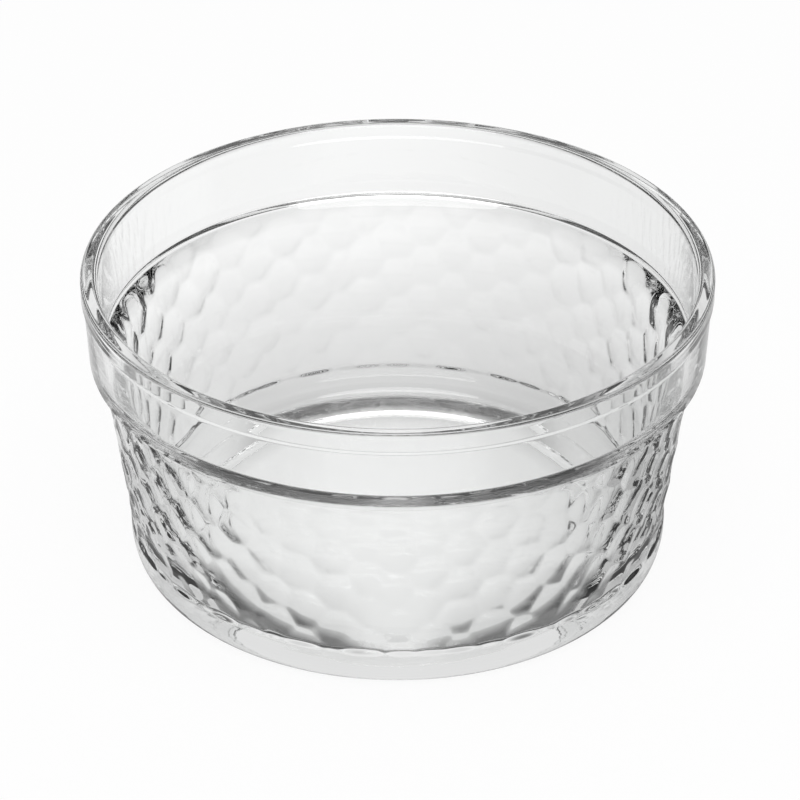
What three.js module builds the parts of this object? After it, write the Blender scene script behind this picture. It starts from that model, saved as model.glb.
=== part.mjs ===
import * as THREE from 'three';

// A ramekin of clear pressed glass, in millimetres with +Z up.
// The whole object is one piece of glass, turned about the Z axis, with a hammered outer wall.
// The origin is the middle of the foot ring, on the surface that the ramekin stands on.

// Outside of the collar and the wall
const RIM_DIAMETER = 100;
const HEIGHT = 50.8;
const BEAD_HEIGHT = 2.9;
const BEAD_STEP = 0.35;
const BEAD_SLOPE = 0.6;
const COLLAR_HEIGHT = 13.9;
const COLLAR_TAPER = 0.92;
const STEP_WIDTH = 1.72;
const STEP_DROP = 0.25;
const WALL_TAPER = 4;

// Heel and underside
const HEEL_HEIGHT = 6.2;
const HEEL_STEP_WIDTH = 0.08;
const HEEL_STEP_HEIGHT = 0.3;
const HEEL_ROUND_WIDTH = 3.4;
const HEEL_ROUND_HEIGHT = 5.1;
const FOOT_RING_WIDTH = 5.4;
const RECESS_DEPTH = 1.4;
const RECESS_SLOPE_WIDTH = 2.7;

// Inside
const LIP_THICKNESS = 2.65;
const COLLAR_FOOT_THICKNESS = 2.55;
const LEDGE_RISE = 1.85;
const LEDGE_WIDTH = 2.4;
const LEDGE_SLOPE = 2.15;
const WALL_FOOT_THICKNESS = 5.1;
const FLOOR_THICKNESS = 2.6;

// Round edges and corners
const FLOOR_FILLET = 2.1;
const LEDGE_EDGE_ROUND = 4.7;
const LEDGE_CORNER_FILLET = 0.65;
const LIP_INSIDE_ROUND = 1.25;
const LIP_OUTSIDE_ROUND = 0.9;
const BEAD_ROUND = 0.8;
const COLLAR_FOOT_ROUND = 0.4;
const NECK_FILLET = 0.4;

// Hammered dimples: columns of shallow hollows, each column shifted up or down from the last
const DIMPLE_SPACING = 5.1;
const DIMPLE_PITCH = 7.05;
const DIMPLE_STAGGER = 0.41;
const DIMPLE_RADIUS = 3.85;
const DIMPLE_DEPTH = 0.34;
const DIMPLE_WANDER = 0.9;
const DIMPLE_DEPTH_SPREAD = 0.35;
const DIMPLE_FADE = 2.2;
const RIDGE_SHARPNESS = 4;

// Fineness of the facets
const POINTS_PER_COLUMN = 1.5;
const WALL_ROW_STEP = 1.8;

// Radii and heights that follow from the sizes above
const rimRadius = RIM_DIAMETER / 2;
const lipInside = new THREE.Vector2(rimRadius - LIP_THICKNESS, HEIGHT);
const lipOutside = new THREE.Vector2(rimRadius, HEIGHT);
const beadFoot = new THREE.Vector2(rimRadius, HEIGHT - BEAD_HEIGHT);
const collarTop = new THREE.Vector2(beadFoot.x - BEAD_STEP, beadFoot.y - BEAD_SLOPE);
const collarFoot = new THREE.Vector2(rimRadius - COLLAR_TAPER, HEIGHT - COLLAR_HEIGHT);
const neck = new THREE.Vector2(collarFoot.x - STEP_WIDTH, collarFoot.y - STEP_DROP);
const wallFoot = new THREE.Vector2(neck.x - WALL_TAPER, HEEL_HEIGHT + HEEL_STEP_HEIGHT);
const heel = new THREE.Vector2(wallFoot.x + HEEL_STEP_WIDTH, HEEL_HEIGHT);
const footOutside = new THREE.Vector2(heel.x - HEEL_ROUND_WIDTH, 0);
const footInside = new THREE.Vector2(footOutside.x - FOOT_RING_WIDTH, 0);
const recess = new THREE.Vector2(footInside.x - RECESS_SLOPE_WIDTH, RECESS_DEPTH);
const recessCentre = new THREE.Vector2(0, RECESS_DEPTH);
const floorCentre = new THREE.Vector2(0, RECESS_DEPTH + FLOOR_THICKNESS);
const floorCorner = new THREE.Vector2(wallFoot.x - WALL_FOOT_THICKNESS, floorCentre.y);
const ledgeCorner = new THREE.Vector2(collarFoot.x - COLLAR_FOOT_THICKNESS, collarFoot.y + LEDGE_RISE);
const ledgeEdge = new THREE.Vector2(ledgeCorner.x - LEDGE_WIDTH, ledgeCorner.y - LEDGE_SLOPE);

// Points of an arc that rounds a corner, limited by the two straight runs that meet there
function roundCorner(before, corner, after, radius, steps) {
  const back = before.clone().sub(corner);
  const ahead = after.clone().sub(corner);
  const halfAngle = Math.acos(back.dot(ahead) / (back.length() * ahead.length())) / 2;
  const shorter = Math.min(back.length(), ahead.length());
  const reach = Math.min(radius / Math.tan(halfAngle), 0.48 * shorter);
  const arcRadius = reach * Math.tan(halfAngle);
  const inward = back.clone().normalize().add(ahead.clone().normalize()).normalize();
  const centre = corner.clone().addScaledVector(inward, arcRadius / Math.sin(halfAngle));
  const start = corner.clone().addScaledVector(back.normalize(), reach).sub(centre);
  const turn = (Math.PI - 2 * halfAngle) * -Math.sign(back.cross(ahead));
  const points = [];
  for (let step = 0; step <= steps; step += 1) {
    points.push(start.clone().rotateAround(new THREE.Vector2(), (turn * step) / steps).add(centre));
  }
  return points;
}

// Smooth profile from the middle of the floor, up the inside, over the lip and down to the neck
function upperProfile() {
  return [
    floorCentre,
    ...roundCorner(floorCentre, floorCorner, ledgeEdge, FLOOR_FILLET, 4),
    ...roundCorner(floorCorner, ledgeEdge, ledgeCorner, LEDGE_EDGE_ROUND, 3),
    ...roundCorner(ledgeEdge, ledgeCorner, lipInside, LEDGE_CORNER_FILLET, 2),
    ...roundCorner(ledgeCorner, lipInside, lipOutside, LIP_INSIDE_ROUND, 3),
    ...roundCorner(lipInside, lipOutside, beadFoot, LIP_OUTSIDE_ROUND, 3),
    ...roundCorner(lipOutside, beadFoot, collarTop, BEAD_ROUND, 1),
    ...roundCorner(beadFoot, collarTop, collarFoot, BEAD_ROUND, 1),
    ...roundCorner(collarTop, collarFoot, neck, COLLAR_FOOT_ROUND, 2),
    ...roundCorner(collarFoot, neck, wallFoot, NECK_FILLET, 2),
  ];
}

// Smooth profile from the heel line, round the heel and the foot ring to the middle of the underside
function lowerProfile() {
  const points = [heel];
  const steps = 5;
  for (let step = 0; step <= steps; step += 1) {
    const angle = (Math.PI / 2) * (step / steps);
    const x = footOutside.x + HEEL_ROUND_WIDTH * Math.cos(angle);
    const y = HEEL_ROUND_HEIGHT * (1 - Math.sin(angle));
    points.push(new THREE.Vector2(x, y));
  }
  return [...points, footInside, recess, recessCentre];
}

// Profile of the hammered wall between the neck and the heel, before the dimples sink into it
function wallProfile(top) {
  const rows = Math.ceil(top.distanceTo(wallFoot) / WALL_ROW_STEP);
  const points = [];
  for (let row = 1; row <= rows; row += 1) {
    points.push(top.clone().lerp(wallFoot, row / rows));
  }
  return points;
}

// A number from -1 to 1 that looks random but is always the same for one dimple
function chance(column, row, salt) {
  const wave = Math.sin(column * 12.9898 + row * 78.233 + salt * 37.719) * 43758.5453;
  return 2 * (wave - Math.floor(wave)) - 1;
}

// How the dimples are laid out: whole columns round the wall, which climb by whole pitches in one turn
const middleRadius = (neck.x + wallFoot.x) / 2;
const columns = Math.round((2 * Math.PI * middleRadius) / DIMPLE_SPACING);
const columnClimb = Math.round(columns * DIMPLE_STAGGER) / columns;

// Depth of the hammered surface below the smooth wall: the nearest hollows, blended at their ridges
function dimpleDepth(angle, height, radius, wallTop) {
  const place = (angle / (2 * Math.PI)) * columns;
  let weights = 0;
  let depth = 0;
  for (let column = Math.floor(place) - 1; column <= Math.floor(place) + 2; column += 1) {
    const around = (column + columns) % columns;
    const rise = height / DIMPLE_PITCH + around * columnClimb;
    for (let row = Math.floor(rise) - 1; row <= Math.floor(rise) + 2; row += 1) {
      const sideways = DIMPLE_WANDER * chance(around, row, 1);
      const upward = DIMPLE_WANDER * chance(around, row, 2);
      const across = ((place - column) * 2 * Math.PI * radius) / columns - sideways;
      const along = (rise - row) * DIMPLE_PITCH - upward;
      const reach = (across * across + along * along) / (DIMPLE_RADIUS * DIMPLE_RADIUS);
      const weight = Math.exp(-RIDGE_SHARPNESS * reach);
      const ownDepth = DIMPLE_DEPTH * (1 + DIMPLE_DEPTH_SPREAD * chance(around, row, 3));
      weights += weight;
      depth += weight * ownDepth * Math.max(0, 1 - reach);
    }
  }
  const fade = THREE.MathUtils.smoothstep(wallTop - height, 0, DIMPLE_FADE);
  return (fade * depth) / weights;
}

// One ring of points about the axis, at its own fineness
function makeRing(point, count, wallTop) {
  const ring = [];
  for (let index = 0; index < count; index += 1) {
    const angle = (2 * Math.PI * index) / count;
    const sunk = wallTop === undefined ? 0 : dimpleDepth(angle, point.y, point.x, wallTop);
    const radius = point.x - sunk;
    ring.push(new THREE.Vector3(radius * Math.cos(angle), radius * Math.sin(angle), point.y));
  }
  return ring;
}

// Triangles between two neighbouring rings, where one may have twice the points of the other
function stitch(first, second, triangles) {
  const steps = Math.max(first.length, second.length);
  for (let step = 0; step < steps; step += 1) {
    const at = (ring, index) => ring.start + (Math.floor((index * ring.length) / steps) % ring.length);
    const [a, b] = [at(first, step), at(first, step + 1)];
    const [c, d] = [at(second, step), at(second, step + 1)];
    if (a !== b) {
      triangles.push(a, c, b);
    }
    if (c !== d) {
      triangles.push(b, c, d);
    }
  }
}

// The closed skin of the glass, as rings from the middle of the floor to the middle of the underside
function glassGeometry() {
  const coarse = Math.round(columns * POINTS_PER_COLUMN);
  const upper = upperProfile();
  const wallTop = upper[upper.length - 1];
  const rings = [
    ...upper.map((point) => makeRing(point, point.x > 0 ? coarse : 1)),
    ...wallProfile(wallTop).map((point) => makeRing(point, 2 * coarse, wallTop.y)),
    ...lowerProfile().map((point) => makeRing(point, point.x > 0 ? coarse : 1)),
  ];
  const positions = [];
  const spans = [];
  for (const ring of rings) {
    spans.push({ start: positions.length / 3, length: ring.length });
    for (const point of ring) {
      positions.push(point.x, point.y, point.z);
    }
  }
  const triangles = [];
  for (let index = 1; index < spans.length; index += 1) {
    stitch(spans[index - 1], spans[index], triangles);
  }
  const geometry = new THREE.BufferGeometry();
  geometry.setAttribute('position', new THREE.Float32BufferAttribute(positions, 3));
  geometry.setIndex(triangles);
  geometry.computeVertexNormals();
  return geometry;
}

const clearGlass = new THREE.MeshStandardMaterial({
  color: 0xf1f5f4,
  roughness: 0.04,
  metalness: 0,
  transparent: true,
  opacity: 0.35,
});

const glassBody = new THREE.Mesh(glassGeometry(), clearGlass);
glassBody.name = 'glass_body';

const ramekin = new THREE.Group();
ramekin.add(glassBody);

export default ramekin;
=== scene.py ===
import math

import bpy
import numpy as np
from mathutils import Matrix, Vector


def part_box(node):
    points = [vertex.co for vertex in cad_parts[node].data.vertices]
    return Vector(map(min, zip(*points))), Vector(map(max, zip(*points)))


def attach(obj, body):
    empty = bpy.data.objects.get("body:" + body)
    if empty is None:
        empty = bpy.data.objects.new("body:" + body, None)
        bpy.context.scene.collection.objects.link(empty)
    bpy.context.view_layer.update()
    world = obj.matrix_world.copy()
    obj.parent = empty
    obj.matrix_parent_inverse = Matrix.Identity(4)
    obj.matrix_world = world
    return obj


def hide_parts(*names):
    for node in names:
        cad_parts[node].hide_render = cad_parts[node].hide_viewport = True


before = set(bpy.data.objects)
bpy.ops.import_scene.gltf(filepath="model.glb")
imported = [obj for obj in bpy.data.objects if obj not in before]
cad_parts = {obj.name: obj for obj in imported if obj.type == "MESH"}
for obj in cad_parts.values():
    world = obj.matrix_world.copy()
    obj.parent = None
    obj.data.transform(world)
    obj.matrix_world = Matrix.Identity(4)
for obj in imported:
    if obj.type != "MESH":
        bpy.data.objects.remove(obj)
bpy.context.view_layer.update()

MM = 0.001
TURN = 2 * math.pi

# Overall size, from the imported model
_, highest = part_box("glass_body")
RIM_RADIUS = highest.x
HEIGHT = highest.z

# Outside of the collar and the wall
BEAD_HEIGHT = 2.9 * MM
BEAD_STEP = 0.35 * MM
BEAD_SLOPE = 0.6 * MM
COLLAR_HEIGHT = 13.9 * MM
COLLAR_TAPER = 0.92 * MM
STEP_WIDTH = 1.72 * MM
STEP_DROP = 0.25 * MM
WALL_TAPER = 4.0 * MM

# Heel and underside
HEEL_HEIGHT = 6.2 * MM
HEEL_STEP_WIDTH = 0.08 * MM
HEEL_STEP_HEIGHT = 1.2 * MM
HEEL_ROUND_WIDTH = 3.4 * MM
HEEL_ROUND_HEIGHT = 5.1 * MM
FOOT_RING_WIDTH = 5.4 * MM
RECESS_DEPTH = 1.4 * MM
RECESS_SLOPE_WIDTH = 2.7 * MM

# Inside
LIP_THICKNESS = 2.65 * MM
COLLAR_FOOT_THICKNESS = 2.55 * MM
LEDGE_RISE = 1.85 * MM
LEDGE_WIDTH = 2.4 * MM
LEDGE_SLOPE = 2.15 * MM
WALL_FOOT_THICKNESS = 5.1 * MM
FLOOR_THICKNESS = 2.6 * MM

# Round edges and corners, and the most of a straight run that one of them may take
FLOOR_FILLET = 2.1 * MM
LEDGE_EDGE_ROUND = 4.7 * MM
LEDGE_CORNER_FILLET = 0.65 * MM
LIP_INSIDE_ROUND = 0.9 * MM
LIP_OUTSIDE_ROUND = 0.6 * MM
BEAD_ROUND = 0.8 * MM
COLLAR_FOOT_ROUND = 0.4 * MM
NECK_FILLET = 0.4 * MM
RECESS_ROUND = 0.8 * MM
ROUND_SHARE = 0.48

# Hammered dimples: columns of shallow hollows, each column shifted up or down from the last
DIMPLE_SPACING = 5.1 * MM
DIMPLE_PITCH = 7.05 * MM
DIMPLE_STAGGER = 0.41
DIMPLE_RADIUS = 3.85 * MM
DIMPLE_DEPTH = 0.34 * MM
DIMPLE_WANDER = 0.9 * MM
DIMPLE_DEPTH_SPREAD = 0.35
DIMPLE_FADE = 2.2 * MM
RIDGE_SHARPNESS = 4
NEIGHBOURS = (-1, 0, 1, 2)

# Numbers that scatter each dimple's place and depth
COLUMN_STRIDE = 12.9898
ROW_STRIDE = 78.233
SALT_STRIDE = 37.719
SCATTER = 43758.5453
ACROSS_SALT = 1
ALONG_SALT = 2
DEPTH_SALT = 3

# Finish of the glass: a faint ripple, turned lines on the heel and a trace of haze
GLASS_COLOUR = (0.99, 0.995, 0.992, 1)
GLASS_IOR = 1.5
RIPPLE_SIZE = 9 * MM
RIPPLE_DETAIL = 1
RIPPLE_DEPTH = 0.03 * MM
LINE_PITCH = 0.8 * MM
LINE_DEPTH = 0.004 * MM
LINE_WAVER = 3
LINE_WAVER_DETAIL = 2
LINE_WAVER_SCALE = 0.4
WAVE_RADIANS = 20
HAZE_SIZE = 4 * MM
HAZE_DETAIL = 4
HAZE_RANGE = (0.35, 0.7)
ROUGHNESS = (0.0, 0.015)

# Fineness of the mesh
POINTS_PER_COLUMN = 12
WALL_ROW_STEP = 0.4 * MM
HEEL_STEP_ROWS = 5
SUPPORT_STEP = 0.25 * MM
LONG_RUN = 4 * SUPPORT_STEP

# Steps in each rounded edge
FLOOR_ARC = 20
LEDGE_EDGE_ARC = 12
LEDGE_CORNER_ARC = 10
LIP_ARC = 12
BEAD_ARC = 6
NECK_ARC = 8
HEEL_ARC = 17
RECESS_ARC = 6

# The photograph's camera, aimed a little right of the bowl's middle and a little above it
VIEW_ELEVATION = math.radians(31.9)
VIEW_DISTANCE = 650 * MM
VIEW_LENS = 181.85
VIEW_SENSOR = 36
VIEW_SHIFT_RIGHT = 0.37 * MM
VIEW_SHIFT_UP = 0.57 * MM

# How often light may turn inside the glass and cross its skin before its path ends dark
GLASS_TURNS = 10
GLASS_CROSSINGS = 16

# The floor as the eye sees it: mostly even white, with a faint shadow
FLOOR_RADIUS = 4.0
FLOOR_POINTS = 96
FLOOR_GAP = 0.02 * MM
FLOOR_COLOUR = (0.9, 0.9, 0.9, 1)
EYE_SHARE = 0.93

# The floor as the glass shows it: painted shadow in grey levels by distance from the axis, in shares of
# the reach, darkest in a ring where the foot stands
PAINTED_SHADOW_REACH = 100 * MM
PAINTED_SHADOW_LEVELS = (
    (0, 0.88), (0.3, 0.82), (0.345, 0.6), (0.365, 0.08),
    (0.385, 0.1), (0.41, 0.6), (0.55, 0.74), (1, 0.97),
)

# At the front, a little to each side, the painted shadow ring is wider
FRONT_PAINTED_SHADOW_LEVELS = (
    (0, 0.88), (0.15, 0.86), (0.3, 0.68), (0.34, 0.1), (0.36, 0.02),
    (0.4, 0.04), (0.425, 0.6), (0.55, 0.74), (1, 0.97),
)
FRONT_ACROSS = (2 * MM, 10 * MM)
FRONT_ALONG = (-6 * MM, -16 * MM)

# At the sides and the back corners the painted shadow ring is no darker than this
SHADOW_RING_FADE_ACROSS = (15 * MM, 32 * MM)
SHADOW_RING_FADE_ALONG = (-22 * MM, -6 * MM)
SHADOW_RING_FADE_LEVEL = 0.76

# Painted shade darkens the front half's left and right, and painted shade dims the floor slowly towards
# the right
LEFT_PAINTED_SHADE_ACROSS = (-36 * MM, -54 * MM)
LEFT_PAINTED_SHADE_DEPTH = 0.22
RIGHT_PAINTED_SHADE_ACROSS = (36 * MM, 54 * MM)
RIGHT_PAINTED_SHADE_DEPTH = 0.42
SIDE_PAINTED_SHADE_ALONG = (25 * MM, 5 * MM)
PAINTED_DIMMING_ACROSS = (-20 * MM, 60 * MM)
PAINTED_DIMMING_LEVELS = (1, 0.87)

# The light overhead
SOFTBOX_SIZE = 0.9
SOFTBOX_HEIGHT = 0.9
SOFTBOX_FORWARD = 0.35
SOFTBOX_POWER = 5.6

# Walls of the studio: grey levels from the horizon up, and how far sideways the dark ones begin
LIGHT_WALL = ((0, 0.4), (0.2, 0.65), (0.5, 0.8), (1, 0.75))
DARK_WALL = ((0, 0.12), (0.35, 0.06), (0.85, 0.04), (0.97, 0.6))
LIGHT_WALL_EDGE = 0.15
DARK_WALL_EDGE = 0.35

# Corners of the glass's profile, as (radius, height)
bead_foot = np.array((RIM_RADIUS, HEIGHT - BEAD_HEIGHT))
collar_top = bead_foot - (BEAD_STEP, BEAD_SLOPE)
collar_foot = np.array((RIM_RADIUS - COLLAR_TAPER, HEIGHT - COLLAR_HEIGHT))
neck = collar_foot - (STEP_WIDTH, STEP_DROP)
wall_foot = np.array((neck[0] - WALL_TAPER, HEEL_HEIGHT + HEEL_STEP_HEIGHT))
heel = np.array((wall_foot[0] + HEEL_STEP_WIDTH, HEEL_HEIGHT))
foot_outside = np.array((heel[0] - HEEL_ROUND_WIDTH, 0))
foot_inside = foot_outside - (FOOT_RING_WIDTH, 0)
recess_edge = np.array((foot_inside[0] - RECESS_SLOPE_WIDTH, RECESS_DEPTH))
recess_centre = np.array((0, RECESS_DEPTH))
floor_centre = recess_centre + (0, FLOOR_THICKNESS)
floor_corner = np.array((wall_foot[0] - WALL_FOOT_THICKNESS, floor_centre[1]))
ledge_corner = collar_foot + (-COLLAR_FOOT_THICKNESS, LEDGE_RISE)
ledge_edge = ledge_corner - (LEDGE_WIDTH, LEDGE_SLOPE)
lip_inside = np.array((RIM_RADIUS - LIP_THICKNESS, HEIGHT))
lip_outside = np.array((RIM_RADIUS, HEIGHT))

# How the dimples are laid out: whole columns round the wall, which climb by whole pitches in one turn
columns = round(math.pi * (neck[0] + wall_foot[0]) / DIMPLE_SPACING)
column_climb = round(columns * DIMPLE_STAGGER) / columns
around = columns * POINTS_PER_COLUMN
angles = np.arange(around) * TURN / around


def unit(vector):
    """The same direction with a length of 1."""
    return vector / np.linalg.norm(vector)


def smooth(share):
    """A share from 0 to 1, eased at both ends."""
    return share * share * (3 - 2 * share)


def round_corner(before, corner, after, radius, steps):
    """Points of an arc that rounds a corner, limited by the two straight runs that meet there."""
    back, ahead = unit(before - corner), unit(after - corner)
    shorter = min(np.linalg.norm(before - corner), np.linalg.norm(after - corner))
    half_angle = math.acos(back @ ahead) / 2
    reach = min(radius / math.tan(half_angle), ROUND_SHARE * shorter)
    arc_radius = reach * math.tan(half_angle)
    centre = corner + unit(back + ahead) * arc_radius / math.sin(half_angle)
    start = corner + back * reach - centre
    side = np.sign(back[0] * ahead[1] - back[1] * ahead[0])
    points = []
    for turn in np.linspace(0, -side * (math.pi - 2 * half_angle), steps + 1):
        cos, sin = math.cos(turn), math.sin(turn)
        points.append(centre + (start[0] * cos - start[1] * sin, start[0] * sin + start[1] * cos))
    return points


def upper_profile():
    """From the middle of the floor, up the smooth inside, over the lip and down to the neck."""
    return [
        floor_centre,
        *round_corner(floor_centre, floor_corner, ledge_edge, FLOOR_FILLET, FLOOR_ARC),
        *round_corner(floor_corner, ledge_edge, ledge_corner, LEDGE_EDGE_ROUND, LEDGE_EDGE_ARC),
        *round_corner(ledge_edge, ledge_corner, lip_inside, LEDGE_CORNER_FILLET, LEDGE_CORNER_ARC),
        *round_corner(ledge_corner, lip_inside, lip_outside, LIP_INSIDE_ROUND, LIP_ARC),
        *round_corner(lip_inside, lip_outside, bead_foot, LIP_OUTSIDE_ROUND, LIP_ARC),
        *round_corner(lip_outside, bead_foot, collar_top, BEAD_ROUND, BEAD_ARC),
        *round_corner(bead_foot, collar_top, collar_foot, BEAD_ROUND, BEAD_ARC),
        *round_corner(collar_top, collar_foot, neck, COLLAR_FOOT_ROUND, NECK_ARC),
        *round_corner(collar_foot, neck, wall_foot, NECK_FILLET, NECK_ARC),
    ]


def lower_profile():
    """From the heel line, round the heel and the foot ring to the middle of the underside."""
    points = [heel]
    for angle in np.linspace(0, math.pi / 2, HEEL_ARC + 1):
        out = HEEL_ROUND_WIDTH * math.cos(angle)
        points.append(foot_outside + (out, HEEL_ROUND_HEIGHT * (1 - math.sin(angle))))
    points += round_corner(foot_outside, foot_inside, recess_edge, RECESS_ROUND, RECESS_ARC)
    points += round_corner(foot_inside, recess_edge, recess_centre, RECESS_ROUND, RECESS_ARC)
    return [*points, recess_centre]


def with_supports(points):
    """Adds a point close to each end of every long straight run, so that smooth shading stays true."""
    supported = [points[0]]
    for start, end in zip(points, points[1:]):
        length = np.linalg.norm(end - start)
        if length > LONG_RUN:
            step = (end - start) * SUPPORT_STEP / length
            supported += [start + step, end - step]
        supported.append(end)
    return supported


def wall_profile(top):
    """The hammered wall between the neck and the heel, before the dimples sink into it."""
    rows = math.ceil(np.linalg.norm(wall_foot - top) / WALL_ROW_STEP)
    return [top + (wall_foot - top) * row / rows for row in range(1, rows + 1)]


def chance(column, row, salt):
    """Numbers from -1 to 1 that look random but are always the same for one dimple."""
    wave = np.sin(column * COLUMN_STRIDE + row * ROW_STRIDE + salt * SALT_STRIDE) * SCATTER
    return 2 * (wave - np.floor(wave)) - 1


def dimple_depth(height, radius, wall_top):
    """Depth of one ring of the hammered surface below the smooth wall, blended at the ridges."""
    place = angles / TURN * columns
    weights = np.zeros(around)
    depth = np.zeros(around)
    for column_offset in NEIGHBOURS:
        column = np.floor(place) + column_offset
        wrapped = (column + columns) % columns
        rise = height / DIMPLE_PITCH + wrapped * column_climb
        for row_offset in NEIGHBOURS:
            row = np.floor(rise) + row_offset
            across = (place - column) * TURN * radius / columns
            across -= DIMPLE_WANDER * chance(wrapped, row, ACROSS_SALT)
            along = (rise - row) * DIMPLE_PITCH - DIMPLE_WANDER * chance(wrapped, row, ALONG_SALT)
            reach = (across**2 + along**2) / DIMPLE_RADIUS**2
            weight = np.exp(-RIDGE_SHARPNESS * reach)
            own_depth = DIMPLE_DEPTH * (1 + DIMPLE_DEPTH_SPREAD * chance(wrapped, row, DEPTH_SALT))
            weights += weight
            depth += weight * own_depth * np.maximum(0, 1 - reach)
    fade = min(1, max(0, (wall_top - height) / DIMPLE_FADE))
    return smooth(fade) * depth / weights


def ring(radius, height):
    """One ring of points about the axis, with one radius or one for each point."""
    return np.column_stack((radius * np.cos(angles), radius * np.sin(angles), np.full(around, height)))


def heel_step(dimpled_foot):
    """Rings that bend from the last row of dimples to the plain round heel."""
    plain_heel = ring(*heel)
    rings = []
    for row in range(1, HEEL_STEP_ROWS):
        share = row / HEEL_STEP_ROWS
        blend = np.array((smooth(share), smooth(share), share))
        rings.append(dimpled_foot * (1 - blend) + plain_heel * blend)
    return rings


def bowl_rings():
    """All rings of the bowl: up the inside, over the lip, down the hammered wall and under the foot."""
    upper = with_supports(upper_profile())
    wall_top = upper[-1]
    rings = [ring(radius, height) for radius, height in upper[1:]]
    for radius, height in wall_profile(wall_top):
        rings.append(ring(radius - dimple_depth(height, radius, wall_top[1]), height))
    rings += heel_step(rings[-1])
    rings += [ring(radius, height) for radius, height in with_supports(lower_profile())[:-1]]
    return rings


def bowl_faces(ring_count):
    """Faces between the rings, and a fan about the middle of the floor and of the underside."""
    here = np.arange(around)
    beside = (here + 1) % around
    faces = []
    for start in range(0, (ring_count - 1) * around, around):
        end = start + around
        faces += np.column_stack((start + here, end + here, end + beside, start + beside)).tolist()
    floor_pole = ring_count * around
    under_pole = floor_pole + 1
    last = floor_pole - around
    faces += [(floor_pole, int(i), int(j)) for i, j in zip(here, beside)]
    faces += [(under_pole, int(last + j), int(last + i)) for i, j in zip(here, beside)]
    return faces


def make_glass():
    """The bowl as one closed skin, from the middle of the floor round to the middle of the underside."""
    rings = bowl_rings()
    poles = [[0, 0, floor_centre[1]], [0, 0, recess_centre[1]]]
    mesh = bpy.data.meshes.new("glass_bowl")
    mesh.from_pydata(np.vstack([*rings, poles]).tolist(), [], bowl_faces(len(rings)))
    mesh.polygons.foreach_set("use_smooth", [True] * len(mesh.polygons))
    mesh.update()
    bowl = bpy.data.objects.new("glass_bowl", mesh)
    bpy.context.scene.collection.objects.link(bowl)
    return bowl


def math_node(tree, operation, first, second=0):
    """One step of arithmetic on one or two values, each a number or the output of another node."""
    node = tree.nodes.new("ShaderNodeMath")
    node.operation = operation
    for socket, value in zip(node.inputs, (first, second)):
        if isinstance(value, (int, float)):
            socket.default_value = value
        else:
            tree.links.new(value, socket)
    return node.outputs[0]


def eased(tree, value, inputs, outputs):
    """A smooth step from one value to another."""
    node = tree.nodes.new("ShaderNodeMapRange")
    node.interpolation_type = "SMOOTHSTEP"
    tree.links.new(value, node.inputs["Value"])
    node.inputs["From Min"].default_value, node.inputs["From Max"].default_value = inputs
    node.inputs["To Min"].default_value, node.inputs["To Max"].default_value = outputs
    return node.outputs["Result"]


def axes(tree, place):
    """The three parts of a place or a direction."""
    node = tree.nodes.new("ShaderNodeSeparateXYZ")
    tree.links.new(place, node.inputs[0])
    return node.outputs


def noise(tree, place, size, detail):
    """Soft patches of about one size."""
    node = tree.nodes.new("ShaderNodeTexNoise")
    node.inputs["Scale"].default_value = 1 / size
    node.inputs["Detail"].default_value = detail
    tree.links.new(place, node.inputs["Vector"])
    return node.outputs["Fac"]


def grey_ramp(tree, value, levels):
    """Grey levels along a value from 0 to 1. New stops start in the middle and are then moved."""
    ramp = tree.nodes.new("ShaderNodeValToRGB")
    tree.links.new(value, ramp.inputs["Fac"])
    stops = ramp.color_ramp.elements
    while len(stops) < len(levels):
        stops.new(0.5)
    for stop, (position, level) in zip(stops, levels):
        stop.position = position
        stop.color = (level, level, level, 1)
    return ramp.outputs["Color"]


def mixed_greys(tree, share, first, second):
    """Two greys, mixed by a share of the second."""
    node = tree.nodes.new("ShaderNodeMix")
    node.data_type = "RGBA"
    tree.links.new(share, node.inputs["Factor"])
    tree.links.new(first, node.inputs["A"])
    tree.links.new(second, node.inputs["B"])
    return node.outputs["Result"]


def heel_lines(tree, place):
    """Fine turned lines on the heel only, in shares of the ripple's depth."""
    lines = tree.nodes.new("ShaderNodeTexWave")
    lines.bands_direction = "Z"
    lines.inputs["Scale"].default_value = TURN / (WAVE_RADIANS * LINE_PITCH)
    lines.inputs["Distortion"].default_value = LINE_WAVER
    lines.inputs["Detail"].default_value = LINE_WAVER_DETAIL
    lines.inputs["Detail Scale"].default_value = LINE_WAVER_SCALE
    tree.links.new(place, lines.inputs["Vector"])
    _, _, height = axes(tree, place)
    heel_top = (HEEL_HEIGHT, HEEL_HEIGHT - LINE_PITCH)
    depth = eased(tree, height, heel_top, (0, LINE_DEPTH / RIPPLE_DEPTH))
    return math_node(tree, "MULTIPLY", lines.outputs["Fac"], depth)


def glass_material():
    """Clear pressed glass, fire-polished, with the mould's faint ripple and turned lines on the heel."""
    material = bpy.data.materials.new("clear_pressed_glass")
    material.use_nodes = True
    tree = material.node_tree
    shader = tree.nodes["Principled BSDF"]
    shader.inputs["Base Color"].default_value = GLASS_COLOUR
    shader.inputs["IOR"].default_value = GLASS_IOR
    shader.inputs["Transmission Weight"].default_value = 1
    place = tree.nodes.new("ShaderNodeTexCoord").outputs["Object"]

    ripple = noise(tree, place, RIPPLE_SIZE, RIPPLE_DETAIL)
    bump = tree.nodes.new("ShaderNodeBump")
    bump.inputs["Strength"].default_value = 1
    bump.inputs["Distance"].default_value = RIPPLE_DEPTH
    tree.links.new(math_node(tree, "ADD", ripple, heel_lines(tree, place)), bump.inputs["Height"])
    tree.links.new(bump.outputs["Normal"], shader.inputs["Normal"])

    haze = noise(tree, place, HAZE_SIZE, HAZE_DETAIL)
    tree.links.new(eased(tree, haze, HAZE_RANGE, ROUGHNESS), shader.inputs["Roughness"])
    return material


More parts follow.
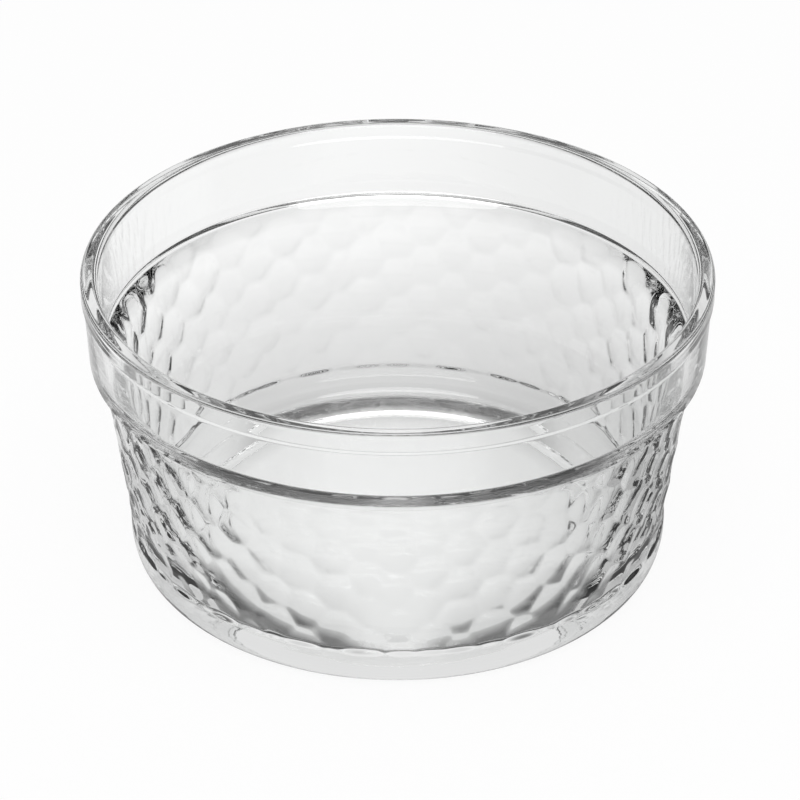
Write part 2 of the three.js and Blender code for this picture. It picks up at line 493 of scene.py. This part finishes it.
def painted_shadow_ring(tree, place, x, y):
    """Painted shadow about the foot: grey levels with a dark ring that is wider in front and paler at
    the sides.
    """
    distance = tree.nodes.new("ShaderNodeVectorMath")
    distance.operation = "LENGTH"
    tree.links.new(place, distance.inputs[0])
    reach = math_node(tree, "DIVIDE", distance.outputs["Value"], PAINTED_SHADOW_REACH)
    side = math_node(tree, "ABSOLUTE", x)

    beside = eased(tree, side, FRONT_ACROSS, (0, 1))
    before = eased(tree, y, FRONT_ALONG, (0, 1))
    in_front = math_node(tree, "MULTIPLY", beside, before)
    # Painted shadow: darkest in a ring where the foot stands
    all_round = grey_ramp(tree, reach, PAINTED_SHADOW_LEVELS)
    shade = mixed_greys(tree, in_front, all_round, grey_ramp(tree, reach, FRONT_PAINTED_SHADOW_LEVELS))

    across = eased(tree, side, SHADOW_RING_FADE_ACROSS, (0, SHADOW_RING_FADE_LEVEL))
    along = eased(tree, y, SHADOW_RING_FADE_ALONG, (0, 1))
    return math_node(tree, "MAXIMUM", shade, math_node(tree, "MULTIPLY", across, along))


def floor_in_glass(tree):
    """How light the floor looks in the glass, all painted shade: the shadow ring about the foot, the
    dimming towards the right and the two darker sides.
    """
    place = tree.nodes.new("ShaderNodeNewGeometry").outputs["Position"]
    x, y, _ = axes(tree, place)
    # Painted shade: the floor dims towards the right
    painted_dimming = eased(tree, x, PAINTED_DIMMING_ACROSS, PAINTED_DIMMING_LEVELS)
    shade = math_node(tree, "MULTIPLY", painted_shadow_ring(tree, place, x, y), painted_dimming)
    # Painted shade: the left and right of the front half are darker
    left_painted_shade = eased(tree, x, LEFT_PAINTED_SHADE_ACROSS, (0, LEFT_PAINTED_SHADE_DEPTH))
    right_painted_shade = eased(tree, x, RIGHT_PAINTED_SHADE_ACROSS, (0, RIGHT_PAINTED_SHADE_DEPTH))
    side_painted_shade = math_node(tree, "ADD", left_painted_shade, right_painted_shade)
    side_painted_shade = math_node(tree, "MULTIPLY", side_painted_shade, eased(tree, y, SIDE_PAINTED_SHADE_ALONG, (0, 1)))
    return math_node(tree, "MULTIPLY", shade, math_node(tree, "SUBTRACT", 1, side_painted_shade))


def floor_material():
    """White with a faint shadow to the eye, and set levels of painted shade in the glass."""
    material = bpy.data.materials.new("white_floor")
    material.use_nodes = True
    tree = material.node_tree
    tree.nodes.remove(tree.nodes["Principled BSDF"])
    path = tree.nodes.new("ShaderNodeLightPath").outputs
    # Glossy and transmission rays see the floor glow at its painted shade levels instead of its lit
    # diffuse
    in_glass = math_node(tree, "MAXIMUM", path["Is Glossy Ray"], path["Is Transmission Ray"])
    level = tree.nodes.new("ShaderNodeMix")
    tree.links.new(in_glass, level.inputs["Factor"])
    level.inputs["A"].default_value = 1
    tree.links.new(floor_in_glass(tree), level.inputs["B"])

    diffuse = tree.nodes.new("ShaderNodeBsdfDiffuse")
    diffuse.inputs["Color"].default_value = FLOOR_COLOUR
    glow = tree.nodes.new("ShaderNodeEmission")
    tree.links.new(level.outputs["Result"], glow.inputs["Strength"])
    eye_share = math_node(tree, "MULTIPLY", path["Is Camera Ray"], EYE_SHARE)
    mix = tree.nodes.new("ShaderNodeMixShader")
    tree.links.new(math_node(tree, "MAXIMUM", eye_share, in_glass), mix.inputs["Fac"])
    tree.links.new(diffuse.outputs[0], mix.inputs[1])
    tree.links.new(glow.outputs[0], mix.inputs[2])
    tree.links.new(mix.outputs[0], tree.nodes["Material Output"].inputs["Surface"])
    return material


def make_floor():
    """A large round floor just under the foot."""
    bpy.ops.mesh.primitive_circle_add(
        vertices=FLOOR_POINTS, radius=FLOOR_RADIUS, fill_type="NGON", location=(0, 0, -FLOOR_GAP)
    )
    floor = bpy.context.object
    floor.name = "studio_floor"
    floor.data.materials.append(floor_material())


def make_world():
    """A studio with light walls in front and behind, dark walls at the sides and a pale ceiling."""
    world = bpy.data.worlds.new("studio")
    bpy.context.scene.world = world
    world.use_nodes = True
    tree = world.node_tree
    x, _, z = axes(tree, tree.nodes.new("ShaderNodeTexCoord").outputs["Generated"])
    sideways = math_node(tree, "MULTIPLY", x, x)
    darkness = eased(tree, sideways, (LIGHT_WALL_EDGE, DARK_WALL_EDGE), (0, 1))
    light_wall = grey_ramp(tree, z, LIGHT_WALL)
    walls = mixed_greys(tree, darkness, light_wall, grey_ramp(tree, z, DARK_WALL))
    tree.links.new(walls, tree.nodes["Background"].inputs["Color"])


def make_softbox():
    """One large soft light above, a little towards the camera."""
    light = bpy.data.lights.new("softbox", "AREA")
    light.shape = "DISK"
    light.size = SOFTBOX_SIZE
    light.energy = SOFTBOX_POWER
    lamp = bpy.data.objects.new("softbox", light)
    lamp.location = (0, -SOFTBOX_FORWARD, SOFTBOX_HEIGHT)
    lamp.rotation_euler = (math.atan2(SOFTBOX_FORWARD, SOFTBOX_HEIGHT), 0, 0)
    bpy.context.scene.collection.objects.link(lamp)


def make_camera():
    """The photograph's view: from the front and above, with a long lens."""
    data = bpy.data.cameras.new("camera")
    data.lens = VIEW_LENS
    data.sensor_width = VIEW_SENSOR
    camera = bpy.data.objects.new("camera", data)
    aim = Vector((VIEW_SHIFT_RIGHT, 0, HEIGHT / 2 + VIEW_SHIFT_UP))
    back = Vector((0, -math.cos(VIEW_ELEVATION), math.sin(VIEW_ELEVATION)))
    camera.location = aim + back * VIEW_DISTANCE
    camera.rotation_euler = (-back).to_track_quat("-Z", "Y").to_euler()
    bpy.context.scene.collection.objects.link(camera)
    bpy.context.scene.camera = camera


bowl = make_glass()
bowl.data.materials.append(glass_material())
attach(bowl, "root")
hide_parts("glass_body")

make_floor()
make_world()
make_softbox()
make_camera()
bpy.context.scene.view_settings.view_transform = "Standard"

# Limits on the paths of light in the glass
paths = bpy.context.scene.cycles
paths.max_bounces = GLASS_TURNS + GLASS_CROSSINGS
paths.glossy_bounces = GLASS_TURNS
paths.transmission_bounces = GLASS_CROSSINGS
